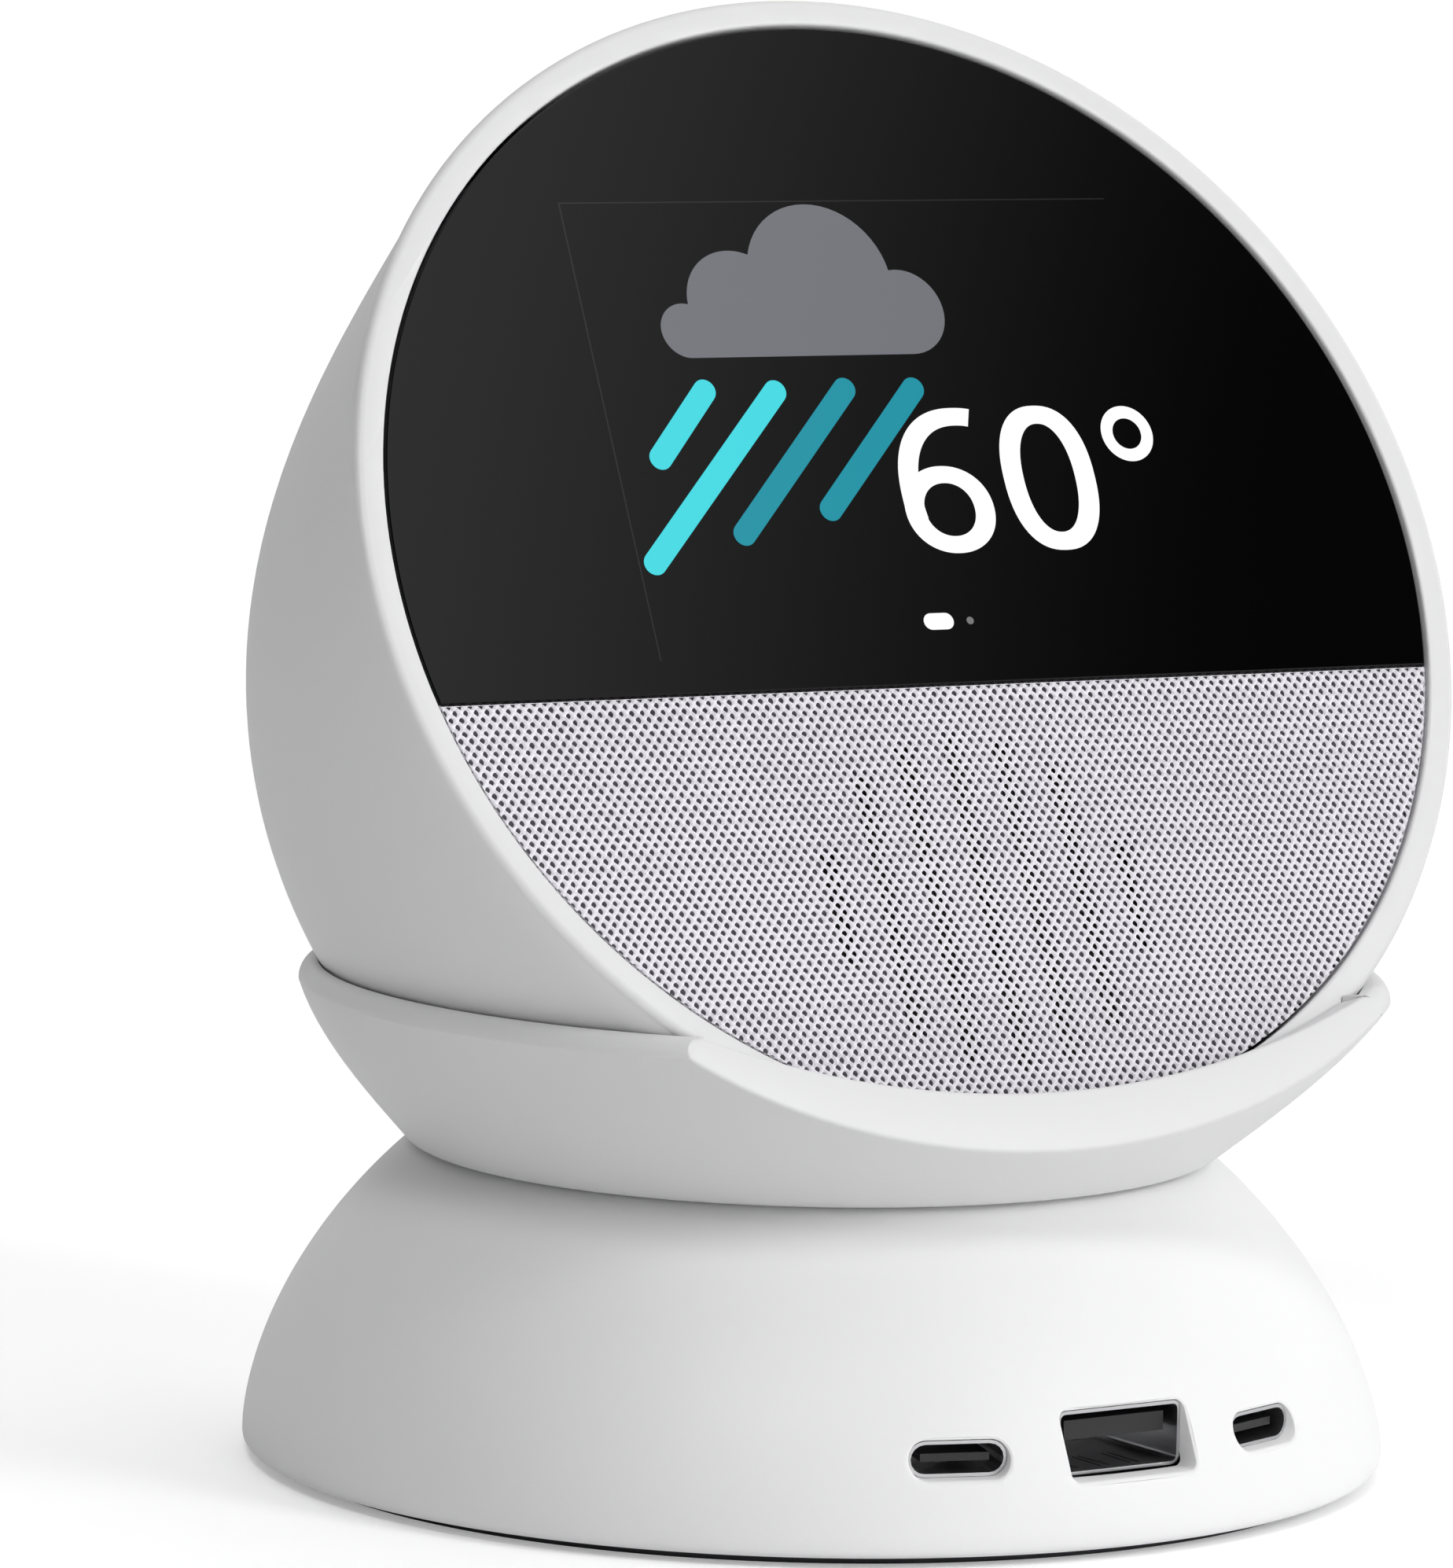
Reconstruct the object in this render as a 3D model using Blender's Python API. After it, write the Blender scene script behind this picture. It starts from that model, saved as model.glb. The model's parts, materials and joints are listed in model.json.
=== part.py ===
"""Smart display resting in a swivelling cradle on a domed USB charging base.

The origin is the middle of the footprint on the table, +Z is up and the display faces -Y.
Lengths below are in millimetres; make() turns them into metres.
"""
import math

import bmesh
import bpy
from mathutils import Matrix, Vector

MM = 0.001
GAP = 0.3

# Base dome
FOOT_HEIGHT = 1.2
FOOT_RADIUS = 50.0
BASE_BOTTOM = FOOT_HEIGHT + GAP
BASE_RADIUS = 52.0
BASE_TOP = 28.4
BASE_WALL = 2.4
DOME_HEIGHT = 40.1
DOME_POWER = 1.68
DOME_LEAN = 0.0703
PLATE_THICKNESS = 2.0
BASE_TURN = math.radians(3.5)
AXIS_Y = 1.6

# Sockets in the base
PORT_ANGLE = math.radians(18.6)
USB_WALL = 0.3
USB_A = {"inside": (12.5, 5.1), "height": 9.7, "front": -49.1, "tongue": (10.6, 1.7), "lift": 1.0}
USB_C = {"inside": (8.34, 2.56), "height": 9.1, "front": -50.3, "tongue": (6.2, 0.7), "lift": 0.0}
PORT_DEPTH = 12.0
BOARD_TOP = 6.5
BOARD_THICKNESS = 1.4

# Cradle
SEAM = BASE_TOP + GAP
BOWL_SEAM_RADIUS = 36.75
BOWL_RIM_RADIUS = 49.3
BOWL_SEAM_Y = 1.3
BOWL_RIM_Y = -3.9
BOWL_CURVE = math.radians(62.0)
RIM_TOP = 45.8
RIM_ROUND = 1.7
FLOOR_THICKNESS = 1.8
POCKET_RADIUS = 32.0
CRADLE_CLEARANCE = 0.45
LIP_THICKNESS = 1.5
LIP_ARC_RADIUS = 86.0
LIP_LOW = -50.6

# Display, laid out on its tilted face: u across, v up the face, w out of it
TILT = 0.4818
FACE_CENTRE = Vector((0.0, -15.587, 83.387))
FACE_RADIUS = 54.77
BAND_INNER = 52.41
BODY_RADIUS = 55.05
BODY_DEPTH = 71.0
BODY_POWER = 2.65
BODY_DROP = 4.33
DROP_DEPTH = 33.3
BODY_WALL = 2.0
BODY_BOTTOM = 33.4
EDGE_ROUND = 0.4
GLASS_SET_BACK = 0.3
GLASS_CHORD = -11.68
SCREEN_WIDTH = 56.9
SCREEN_LOW = -8.49
SCREEN_HIGH = 35.10
SPEAKER_V = -31.5
SPEAKER_RADIUS = 18.5
BUTTON_PITCH = 14.0
BUTTON_DEPTH = 12.0
BUTTON_RADIUS = 3.2

BASE_FRAME = Matrix.Translation((0.0, AXIS_Y, 0.0)) @ Matrix.Rotation(BASE_TURN, 4, "Z")
AXIS_FRAME = Matrix.Translation((0.0, AXIS_Y, 0.0))
FACE_FRAME = Matrix.Translation(FACE_CENTRE) @ Matrix.Rotation(math.pi / 2 - TILT, 4, "X")

MATERIALS = {
    "white_plastic": ((0.83, 0.83, 0.84), 0.42, 0.0),
    "rubber": ((0.03, 0.03, 0.035), 0.85, 0.0),
    "steel": ((0.62, 0.62, 0.63), 0.35, 1.0),
    "black_plastic": ((0.02, 0.02, 0.022), 0.45, 0.0),
    "circuit_board": ((0.02, 0.13, 0.06), 0.5, 0.0),
    "low_friction_plastic": ((0.9, 0.9, 0.88), 0.3, 0.0),
    "aluminium": ((0.78, 0.79, 0.8), 0.4, 1.0),
    "fabric": ((0.8, 0.79, 0.82), 0.9, 0.0),
    "glass": ((0.012, 0.012, 0.014), 0.06, 0.0),
    "paper_cone": ((0.06, 0.06, 0.06), 0.8, 0.0),
}


def clear_scene():
    for item in list(bpy.data.objects):
        bpy.data.objects.remove(item, do_unlink=True)


def material(part_name, kind):
    """A Principled material of the part's own, from its kind's colour, roughness and metalness."""
    colour, roughness, metal = MATERIALS[kind]
    made = bpy.data.materials.new(f"{part_name}_{kind}")
    made.use_nodes = True
    shader = made.node_tree.nodes["Principled BSDF"]
    shader.inputs["Base Color"].default_value = (*colour, 1.0)
    shader.inputs["Roughness"].default_value = roughness
    shader.inputs["Metallic"].default_value = metal
    return made


def make(name, points, faces, kind=None, smooth=False):
    """An object from millimetre points. One with no kind is a cutter, hidden in renders."""
    mesh = bpy.data.meshes.new(name)
    mesh.from_pydata([Vector(point) * MM for point in points], [], faces)
    work = bmesh.new()
    work.from_mesh(mesh)
    bmesh.ops.remove_doubles(work, verts=work.verts, dist=1e-7)
    bmesh.ops.recalc_face_normals(work, faces=work.faces)
    work.to_mesh(mesh)
    work.free()
    made = bpy.data.objects.new(name, mesh)
    bpy.context.collection.objects.link(made)
    if kind is None:
        made.hide_render = True
        made.display_type = "WIRE"
    else:
        mesh.materials.append(material(name, kind))
    if smooth:
        mesh.shade_smooth()
    return made


def loft(name, rings, kind=None, closed=False, smooth=True):
    """A skin over rings of equal count: capped at both ends, or joined end to end when closed."""
    count = len(rings[0])
    points = [point for ring in rings for point in ring]
    faces = []
    spans = len(rings) if closed else len(rings) - 1
    for row in range(spans):
        here = row * count
        above = ((row + 1) % len(rings)) * count
        for step in range(count):
            after = (step + 1) % count
            faces.append((here + step, here + after, above + after, above + step))
    if not closed:
        faces.append(tuple(range(count)))
        faces.append(tuple(range(len(points) - count, len(points))))
    return make(name, points, faces, kind, smooth)


def circle(frame, radius, height, count, centre=(0.0, 0.0)):
    """Points round a circle square to the frame's third axis."""
    points = []
    for step in range(count):
        angle = 2 * math.pi * step / count
        flat = (centre[0] + radius * math.cos(angle), centre[1] + radius * math.sin(angle), height)
        points.append(frame @ Vector(flat))
    return points


def lathe(name, profile, frame, kind=None, count=32, closed=False, centre=(0.0, 0.0)):
    """A turned piece: profile is (radius, height) pairs along the frame's third axis."""
    rings = [circle(frame, radius, height, count, centre) for radius, height in profile]
    return loft(name, rings, kind, closed)


def washer(name, inner, outer, low, high, frame, kind=None, count=32, centre=(0.0, 0.0)):
    profile = [(inner, low), (outer, low), (outer, high), (inner, high)]
    return lathe(name, profile, frame, kind, count, closed=True, centre=centre)


def disc(name, radius, low, high, frame, kind=None, count=32, centre=(0.0, 0.0)):
    return lathe(name, [(radius, low), (radius, high)], frame, kind, count, centre=centre)


def prism(name, outline, low, high, frame, kind=None):
    """A flat outline given depth along the frame's third axis."""
    rings = [[frame @ Vector((x, y, height)) for x, y in outline] for height in (low, high)]
    return loft(name, rings, kind, smooth=False)


def box(name, x_span, y_span, z_span, frame, kind=None):
    outline = [(x_span[0], y_span[0]), (x_span[1], y_span[0]), (x_span[1], y_span[1]), (x_span[0], y_span[1])]
    return prism(name, outline, z_span[0], z_span[1], frame, kind)


def rounded_rectangle(width, height, radius, steps=4):
    points = []
    for corner in range(4):
        middle_x = (width / 2 - radius) * (1 if corner in (0, 3) else -1)
        middle_y = (height / 2 - radius) * (1 if corner in (0, 1) else -1)
        for step in range(steps + 1):
            angle = math.pi / 2 * (corner + step / steps)
            points.append((middle_x + radius * math.cos(angle), middle_y + radius * math.sin(angle)))
    return points


def disc_segment(radius, chord, upper, steps=40):
    """The part of a disc above or below a level chord."""
    start = math.asin(chord / radius)
    finish = math.pi - start if upper else -math.pi - start
    points = []
    for step in range(steps + 1):
        angle = start + (finish - start) * step / steps
        points.append((radius * math.cos(angle), radius * math.sin(angle)))
    return points


def shape(target, cutter, operation="DIFFERENCE"):
    step = target.modifiers.new(cutter.name, "BOOLEAN")
    step.operation = operation
    step.object = cutter
    step.solver = "EXACT"


# ---------------------------------------------------------------- base

def dome_radius(height):
    """Outside radius of the base at a height above its lower edge."""
    return BASE_RADIUS * math.sqrt(1.0 - (height / DOME_HEIGHT) ** DOME_POWER)


def dome_ring(height, shrink, count=48):
    above_edge = height - BASE_BOTTOM
    centre = (0.0, DOME_LEAN * above_edge)
    return circle(Matrix.Identity(4), dome_radius(above_edge) - shrink, height, count, centre)


def boss_places():
    """The four screw bosses, clear of the sockets at the front."""
    for name, degrees in (("back_right", 35), ("back_left", 145), ("front_left", 215), ("front_right", 325)):
        angle = math.radians(degrees)
        yield name, (40.0 * math.cos(angle), 40.0 * math.sin(angle))


def port_frame(turn, height):
    """A socket's frame: first axis across, second up, third straight out through the wall."""
    facing = BASE_FRAME @ Matrix.Rotation(turn, 4, "Z")
    return facing @ Matrix.Translation((0.0, 0.0, height)) @ Matrix.Rotation(math.pi / 2, 4, "X")


def port_places():
    yield "usb_a", USB_A, 0.0
    yield "usb_c_left", USB_C, -PORT_ANGLE
    yield "usb_c_right", USB_C, PORT_ANGLE


def socket_outline(port, grow):
    width, height = (side + 2 * grow for side in port["inside"])
    radius = height * 0.499 if port is USB_C else 0.5 + grow
    return rounded_rectangle(width, height, radius)


def build_base_shell():
    edge = 1.0
    rings = [dome_ring(BASE_BOTTOM, edge), dome_ring(BASE_BOTTOM + 0.3 * edge, 0.3 * edge)]
    outer_heights = [BASE_BOTTOM + edge + step * (BASE_TOP - 0.6 - BASE_BOTTOM - edge) / 9 for step in range(10)]
    rings += [dome_ring(height, 0.0) for height in outer_heights]
    rings.append(dome_ring(BASE_TOP, 0.7))
    identity = AXIS_FRAME
    rings.append(circle(identity, 25.0, BASE_TOP, 48))
    rings.append(circle(identity, 25.0, BASE_TOP - 1.0, 48))
    rings.append(circle(identity, 11.0, BASE_TOP - 1.0, 48))
    rings.append(circle(identity, 11.0, BASE_TOP, 48))
    rings.append(circle(identity, 6.5, BASE_TOP, 48))
    ceiling = BASE_TOP - BASE_WALL
    rings.append(circle(identity, 6.5, ceiling, 48))
    inner_heights = [ceiling - step * (ceiling - BASE_BOTTOM) / 7 for step in range(8)]
    rings += [dome_ring(height, BASE_WALL) for height in inner_heights]
    shell = loft("base_shell", rings, "white_plastic", closed=True)
    for name, place in boss_places():
        boss = disc(f"boss_{name}", 3.0, BASE_BOTTOM + PLATE_THICKNESS + GAP, 21.0, AXIS_FRAME, count=16,
                    centre=place)
        shape(shell, boss, "UNION")
    for name, place in boss_places():
        bore = disc(f"boss_bore_{name}", 1.45, 0.0, 13.0, AXIS_FRAME, count=12, centre=place)
        shape(shell, bore)
    for name, port, turn in port_places():
        opening = prism(f"{name}_opening", socket_outline(port, USB_WALL + 0.2), 30.0, 60.0,
                        port_frame(turn, port["height"]))
        shape(shell, opening)


def build_base_floor():
    plate_low = BASE_BOTTOM
    plate_high = BASE_BOTTOM + PLATE_THICKNESS
    plate = disc("base_bottom_plate", dome_radius(0.0) - BASE_WALL - 0.4, plate_low, plate_high,
                 Matrix.Identity(4), "white_plastic", 48)
    for name, place in boss_places():
        profile = [(2.9, plate_low - 1.0), (2.9, plate_low + 1.0), (1.5, plate_low + 1.0), (1.5, plate_high + 1.0)]
        shape(plate, lathe(f"screw_seat_{name}", profile, AXIS_FRAME, count=16, centre=place))
        head = [(2.5, plate_low + 0.1), (2.5, plate_low + 0.8), (1.2, plate_low + 0.8), (1.2, plate_low + 10.0)]
        lathe(f"base_screw_{name}", head, AXIS_FRAME, "steel", 16, centre=place)
    profile = [(FOOT_RADIUS - 0.5, 0.0), (FOOT_RADIUS, 0.4), (FOOT_RADIUS, FOOT_HEIGHT)]
    lathe("base_foot", profile, Matrix.Identity(4), "rubber", 48)
    disc("ballast_weight", 24.0, plate_high + GAP, plate_high + 8.0, AXIS_FRAME, "steel", centre=(0.0, 13.0))


def build_ports():
    """Three sockets over the power board, each facing straight out: a USB-A between two USB-C."""
    for name, port, turn in port_places():
        frame = port_frame(turn, port["height"])
        front = -port["front"]
        can = prism(f"{name}_shell", socket_outline(port, USB_WALL), front - PORT_DEPTH, front, frame, "steel")
        hollow = prism(f"{name}_hollow", socket_outline(port, 0.0), front - PORT_DEPTH + USB_WALL, front + 5.0,
                       frame)
        shape(can, hollow)
        width, height = port["tongue"]
        lift = port["lift"]
        box(f"{name}_tongue", (-width / 2, width / 2), (lift - height / 2, lift + height / 2),
            (front - PORT_DEPTH + USB_WALL + 0.1, front - 0.8), frame, "black_plastic")
    board_span = (BOARD_TOP - BOARD_THICKNESS, BOARD_TOP)
    box("power_board", (-22.0, 22.0), (-41.0, -13.0), board_span, BASE_FRAME, "circuit_board")
    parts_low = BOARD_TOP + 0.2
    box("inductor", (-6.0, 6.0), (-30.0, -19.0), (parts_low, parts_low + 6.0), BASE_FRAME, "black_plastic")
    for name, across in (("left", -15.0), ("right", 15.0)):
        disc(f"capacitor_{name}", 4.0, parts_low, parts_low + 9.0, BASE_FRAME, "aluminium", 20,
             centre=(across, -24.0))


# ---------------------------------------------------------------- cradle

def bowl_ring(height, shrink=0.0, count=48):
    """A level circle of the cradle's outside, which swells and moves forward as it rises."""
    part = (height - SEAM) / (RIM_TOP - RIM_ROUND - SEAM)
    swell = math.sin(BOWL_CURVE * min(part, 1.0)) / math.sin(BOWL_CURVE)
    radius = BOWL_SEAM_RADIUS + (BOWL_RIM_RADIUS - BOWL_SEAM_RADIUS) * swell - shrink
    centre = (0.0, BOWL_SEAM_Y + (BOWL_RIM_Y - BOWL_SEAM_Y) * min(part, 1.0))
    return circle(Matrix.Identity(4), radius, height, count, centre)


def body_ring(depth, grow, count=48):
    """A circle of the display's body at a depth behind its face, grown or shrunk all round."""
    part = max(depth, 0.0) / (BODY_DEPTH + grow)
    radius = (BODY_RADIUS + grow) * math.sqrt(max(1.0 - part ** BODY_POWER, 0.0))
    drop = BODY_DROP * (1.0 - ((max(depth, 0.0) - DROP_DEPTH) / DROP_DEPTH) ** 2)
    return circle(FACE_FRAME, radius, -depth, count, (0.0, -drop))


def body_rings(grow, start, spans):
    """Circles from a starting depth to the back, closer together where the back curves in."""
    depth_end = BODY_DEPTH + grow
    rings = []
    for step in range(spans):
        part = 1.0 - step / spans
        rings.append(body_ring(start + (depth_end - start) * (1.0 - part * part), grow))
    rings.append(body_ring(start + (depth_end - start) * 0.998, grow))
    return rings


def flatten(target, bottom):
    """Takes everything below a level off a body."""
    shape(target, box(f"{target.name}_flat", (-90.0, 90.0), (-90.0, 90.0), (-20.0, bottom), AXIS_FRAME))


def spindle_screw_places():
    for name, degrees in (("front", 276), ("left", 156), ("right", 36)):
        angle = math.radians(degrees)
        yield name, (8.7 * math.cos(angle), 8.7 * math.sin(angle))


def build_cradle_bowl():
    heights = [SEAM + step * (RIM_TOP - RIM_ROUND - SEAM) / 7 for step in range(8)]
    rings = [bowl_ring(SEAM, 0.3)] + [bowl_ring(height) for height in [SEAM + 0.3] + heights[1:]]
    for step in range(1, 5):
        angle = math.pi / 2 * step / 4
        rise = RIM_TOP - RIM_ROUND + RIM_ROUND * math.sin(angle)
        rings.append(bowl_ring(rise, RIM_ROUND * (1.0 - math.cos(angle))))
    bowl = loft("cradle_bowl", rings, "white_plastic")
    front = GAP + LIP_THICKNESS
    shape(bowl, box("lip_front_cut", (-80.0, 80.0), (-80.0, 80.0), (front, 60.0), FACE_FRAME))
    cavity_rings = [circle(FACE_FRAME, FACE_RADIUS + CRADLE_CLEARANCE + 0.1, GAP, 48)]
    cavity_rings += body_rings(CRADLE_CLEARANCE, EDGE_ROUND, 14)
    cavity = loft("display_cavity", cavity_rings)
    flatten(cavity, BODY_BOTTOM - CRADLE_CLEARANCE)
    shape(bowl, cavity)
    shape(bowl, disc("lip_arc_cut", LIP_ARC_RADIUS, 0.1, 40.0, FACE_FRAME, count=128,
                     centre=(0.0, LIP_LOW + LIP_ARC_RADIUS)))
    floor_top = SEAM + FLOOR_THICKNESS
    shape(bowl, disc("floor_pocket", POCKET_RADIUS, floor_top, BODY_BOTTOM + 1.0, AXIS_FRAME, count=40))
    shape(bowl, disc("spindle_hole", 6.3, SEAM - 5.0, floor_top + 5.0, AXIS_FRAME, count=24))
    for name, place in spindle_screw_places():
        shape(bowl, disc(f"floor_bore_{name}", 1.2, SEAM - 1.0, floor_top + 1.0, AXIS_FRAME, count=12, centre=place))


def build_swivel():
    """The washer in the base's top, and the hollow spindle that hangs the cradle through it."""
    washer("swivel_washer", 11.4, 24.6, BASE_TOP - 0.8, BASE_TOP, AXIS_FRAME, "low_friction_plastic", 40)
    flange_low = SEAM + FLOOR_THICKNESS + GAP
    flange_high = flange_low + 1.0
    profile = [(3.5, 18.0), (6.0, 18.0), (6.0, flange_low), (11.0, flange_low), (11.0, flange_high),
               (3.5, flange_high)]
    spindle = lathe("swivel_spindle", profile, AXIS_FRAME, "black_plastic", 24, closed=True)
    for name, place in spindle_screw_places():
        shape(spindle, disc(f"flange_bore_{name}", 1.2, flange_low - 1.0, flange_high + 1.0, AXIS_FRAME, count=12,
                            centre=place))
        head_low = flange_high + 0.2
        screw = [(0.9, SEAM + 0.2), (0.9, head_low), (1.9, head_low), (1.9, head_low + 0.7)]
        lathe(f"spindle_screw_{name}", screw, AXIS_FRAME, "steel", 12, centre=place)
    washer("spindle_retainer", 6.3, 10.5, BASE_TOP - BASE_WALL - 2.5, BASE_TOP - BASE_WALL - GAP, AXIS_FRAME,
           "steel", 24)
    washer("grip_pad", 14.0, 30.0, flange_low, flange_high, AXIS_FRAME, "rubber", 40)


# ---------------------------------------------------------------- display

def button_frames():
    """Frames at the top of the housing whose third axis points out through the skin."""
    depth = BUTTON_DEPTH
    part = depth / BODY_DEPTH
    radius = BODY_RADIUS * math.sqrt(1.0 - part ** BODY_POWER)
    drop = BODY_DROP * (1.0 - ((depth - DROP_DEPTH) / DROP_DEPTH) ** 2)
    for name, across in (("volume_down", -BUTTON_PITCH), ("mic", 0.0), ("volume_up", BUTTON_PITCH)):
        lean = math.asin(across / radius)
        place = FACE_FRAME @ Matrix.Translation((0.0, -drop, -depth))
        yield name, place @ Matrix.Rotation(-lean, 4, "Z") @ Matrix.Rotation(-math.pi / 2, 4, "X"), radius


def build_housing():
    rings = [circle(FACE_FRAME, FACE_RADIUS - EDGE_ROUND, 0.0, 48)]
    rings += body_rings(0.0, EDGE_ROUND, 14)
    housing = loft("housing", rings, "white_plastic")
    flatten(housing, BODY_BOTTOM)
    inner = [circle(FACE_FRAME, BAND_INNER, 2.0, 48), circle(FACE_FRAME, BAND_INNER, -5.0, 48)]
    inner += body_rings(-BODY_WALL, 7.0, 12)
    hollow = loft("housing_hollow", inner)
    flatten(hollow, BODY_BOTTOM + BODY_WALL)
    shape(housing, hollow)
    for name, frame, radius in button_frames():
        shape(housing, disc(f"{name}_opening", BUTTON_RADIUS + 0.3, radius - 5.0, radius + 5.0, frame, count=20))
    shape(housing, disc("inlet_opening", 4.2, -80.0, -60.0, FACE_FRAME, count=24))


def build_face():
    """Glass over the screen above the chord, fabric over the speaker grille below it."""
    glass_front = -GLASS_SET_BACK
    edge = BAND_INNER - GAP
    prism("cover_glass", disc_segment(edge, GLASS_CHORD, True), glass_front - 1.0, glass_front, FACE_FRAME,
          "glass")
    prism("fabric_grille", disc_segment(edge, GLASS_CHORD - 0.2, False), glass_front - 1.0, glass_front,
          FACE_FRAME, "fabric")
    frame_front = glass_front - 1.0 - GAP
    frame_back = frame_front - 1.8
    frame = disc("front_frame", edge, frame_back, frame_front, FACE_FRAME, "black_plastic", 48)
    half = SCREEN_WIDTH / 2 + 3.3
    low = SCREEN_LOW - 3.0
    high = SCREEN_HIGH + 3.0
    shape(frame, box("screen_window", (-half, half), (low, high), (frame_back - 1.0, frame_front + 1.0),
                     FACE_FRAME))
    for step in range(-3, 4):
        middle = step * 5.0
        reach = math.sqrt((SPEAKER_RADIUS - 2.5) ** 2 - middle ** 2)
        shape(frame, box(f"grille_slot_{step + 4}", (middle - 1.3, middle + 1.3),
                         (SPEAKER_V - reach, SPEAKER_V + reach), (frame_back - 1.0, frame_front + 1.0), FACE_FRAME))
    inset = 0.3
    box("screen_panel", (-half + inset, half - inset), (low + inset, high - inset),
        (frame_back, frame_front), FACE_FRAME, "glass")
    box("screen_back_plate", (-half - 2.0, half + 2.0), (low - 1.0, high), (frame_back - GAP - 0.8, frame_back - GAP),
        FACE_FRAME, "steel")
    return frame_back


def build_speaker(frame_back):
    front = frame_back - GAP
    centre = (0.0, SPEAKER_V)
    thin = 0.9
    outside = [(SPEAKER_RADIUS, front), (SPEAKER_RADIUS, front - 1.6), (14.5, front - 3.0), (10.6, front - 9.5),
               (8.0, front - 9.5), (8.0, front - 9.5 + thin), (9.8, front - 9.5 + thin), (13.6, front - 2.4),
               (16.8, front - 1.2), (16.8, front)]
    lathe("speaker_basket", outside, FACE_FRAME, "black_plastic", 32, closed=True, centre=centre)
    cone = [(16.4, front - 0.5), (15.4, front - 0.2), (14.3, front - 0.7), (5.0, front - 5.5), (5.0, front - 6.0),
            (14.4, front - 1.2), (15.4, front - 0.7), (16.4, front - 1.0)]
    lathe("speaker_cone", cone, FACE_FRAME, "paper_cone", 32, closed=True, centre=centre)
    lathe("speaker_dust_cap", [(4.6, front - 5.6), (4.6, front - 5.2), (2.6, front - 4.2), (0.6, front - 3.9)],
          FACE_FRAME, "paper_cone", 24, centre=centre)
    magnet_front = front - 9.5 - GAP
    disc("speaker_magnet", 10.0, magnet_front - 5.5, magnet_front, FACE_FRAME, "steel", 24, centre=centre)


def build_electronics(frame_back):
    plate_back = frame_back - GAP - 0.8
    board_front = plate_back - 3.0
    box("main_board", (-28.0, 28.0), (-8.0, 34.0), (board_front - 1.2, board_front), FACE_FRAME, "circuit_board")
    shield_front = board_front - 1.2 - GAP
    box("processor_shield", (-11.0, 11.0), (2.0, 24.0), (shield_front - 2.2, shield_front), FACE_FRAME, "steel")
    spreader = shield_front - 2.2 - GAP
    box("heat_spreader", (-18.0, 18.0), (-4.0, 30.0), (spreader - 1.2, spreader), FACE_FRAME, "aluminium")
    tail = -BODY_DEPTH
    inlet = [(3.9, tail + 0.7), (3.9, tail + 10.0), (1.1, tail + 10.0), (1.1, tail + 9.2), (2.9, tail + 9.2),
             (2.9, tail + 0.7)]
    lathe("power_inlet", inlet, FACE_FRAME, "black_plastic", 24, closed=True)
    disc("power_inlet_pin", 0.7, tail + 1.6, tail + 10.4, FACE_FRAME, "steel", 12)


def build_buttons():
    """Three press buttons, each over a switch on its own small board below the housing's top."""
    for name, frame, radius in button_frames():
        cap = [(BUTTON_RADIUS + 0.9, radius - 4.6), (BUTTON_RADIUS + 0.9, radius - 3.8),
               (BUTTON_RADIUS, radius - 3.8), (BUTTON_RADIUS, radius + 0.3), (BUTTON_RADIUS - 0.4, radius + 0.7)]
        lathe(f"button_{name}", cap, frame, "white_plastic", 20)
        disc(f"switch_{name}", 1.6, radius - 8.2, radius - 5.7, frame, "black_plastic", 12)
        box(f"switch_board_{name}", (-4.5, 4.5), (-3.2, 3.2), (radius - 9.7, radius - 8.5), frame, "circuit_board")


def build_display_foot():
    high = BODY_BOTTOM - GAP
    washer("display_foot", 17.0, 27.0, high - 1.0, high, AXIS_FRAME, "rubber", 40)


def main():
    clear_scene()
    build_base_shell()
    build_base_floor()
    build_ports()
    build_cradle_bowl()
    build_swivel()
    build_housing()
    frame_back = build_face()
    build_speaker(frame_back)
    build_electronics(frame_back)
    build_buttons()
    build_display_foot()


main()
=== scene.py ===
"""Looks for the smart display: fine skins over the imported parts, knitted grille, lit screen, studio."""
import json
import math
import random

import bmesh
import bpy
from mathutils import Matrix, Vector


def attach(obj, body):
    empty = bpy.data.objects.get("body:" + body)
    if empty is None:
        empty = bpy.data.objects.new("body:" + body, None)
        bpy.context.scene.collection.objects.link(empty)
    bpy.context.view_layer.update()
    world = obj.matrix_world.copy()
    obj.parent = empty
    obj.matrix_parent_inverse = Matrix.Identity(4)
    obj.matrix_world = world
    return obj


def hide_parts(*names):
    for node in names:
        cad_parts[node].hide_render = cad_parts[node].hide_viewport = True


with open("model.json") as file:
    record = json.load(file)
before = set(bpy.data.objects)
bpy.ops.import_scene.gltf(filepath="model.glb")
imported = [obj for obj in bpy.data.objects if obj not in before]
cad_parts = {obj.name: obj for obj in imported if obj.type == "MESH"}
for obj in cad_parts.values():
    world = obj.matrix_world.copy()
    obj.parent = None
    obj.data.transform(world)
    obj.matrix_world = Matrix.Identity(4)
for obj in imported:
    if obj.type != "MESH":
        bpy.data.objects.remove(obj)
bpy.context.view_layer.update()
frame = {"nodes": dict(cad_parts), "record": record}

MM = 0.001
CIRCLE_STEPS = 192
GAP = 0.3

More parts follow.
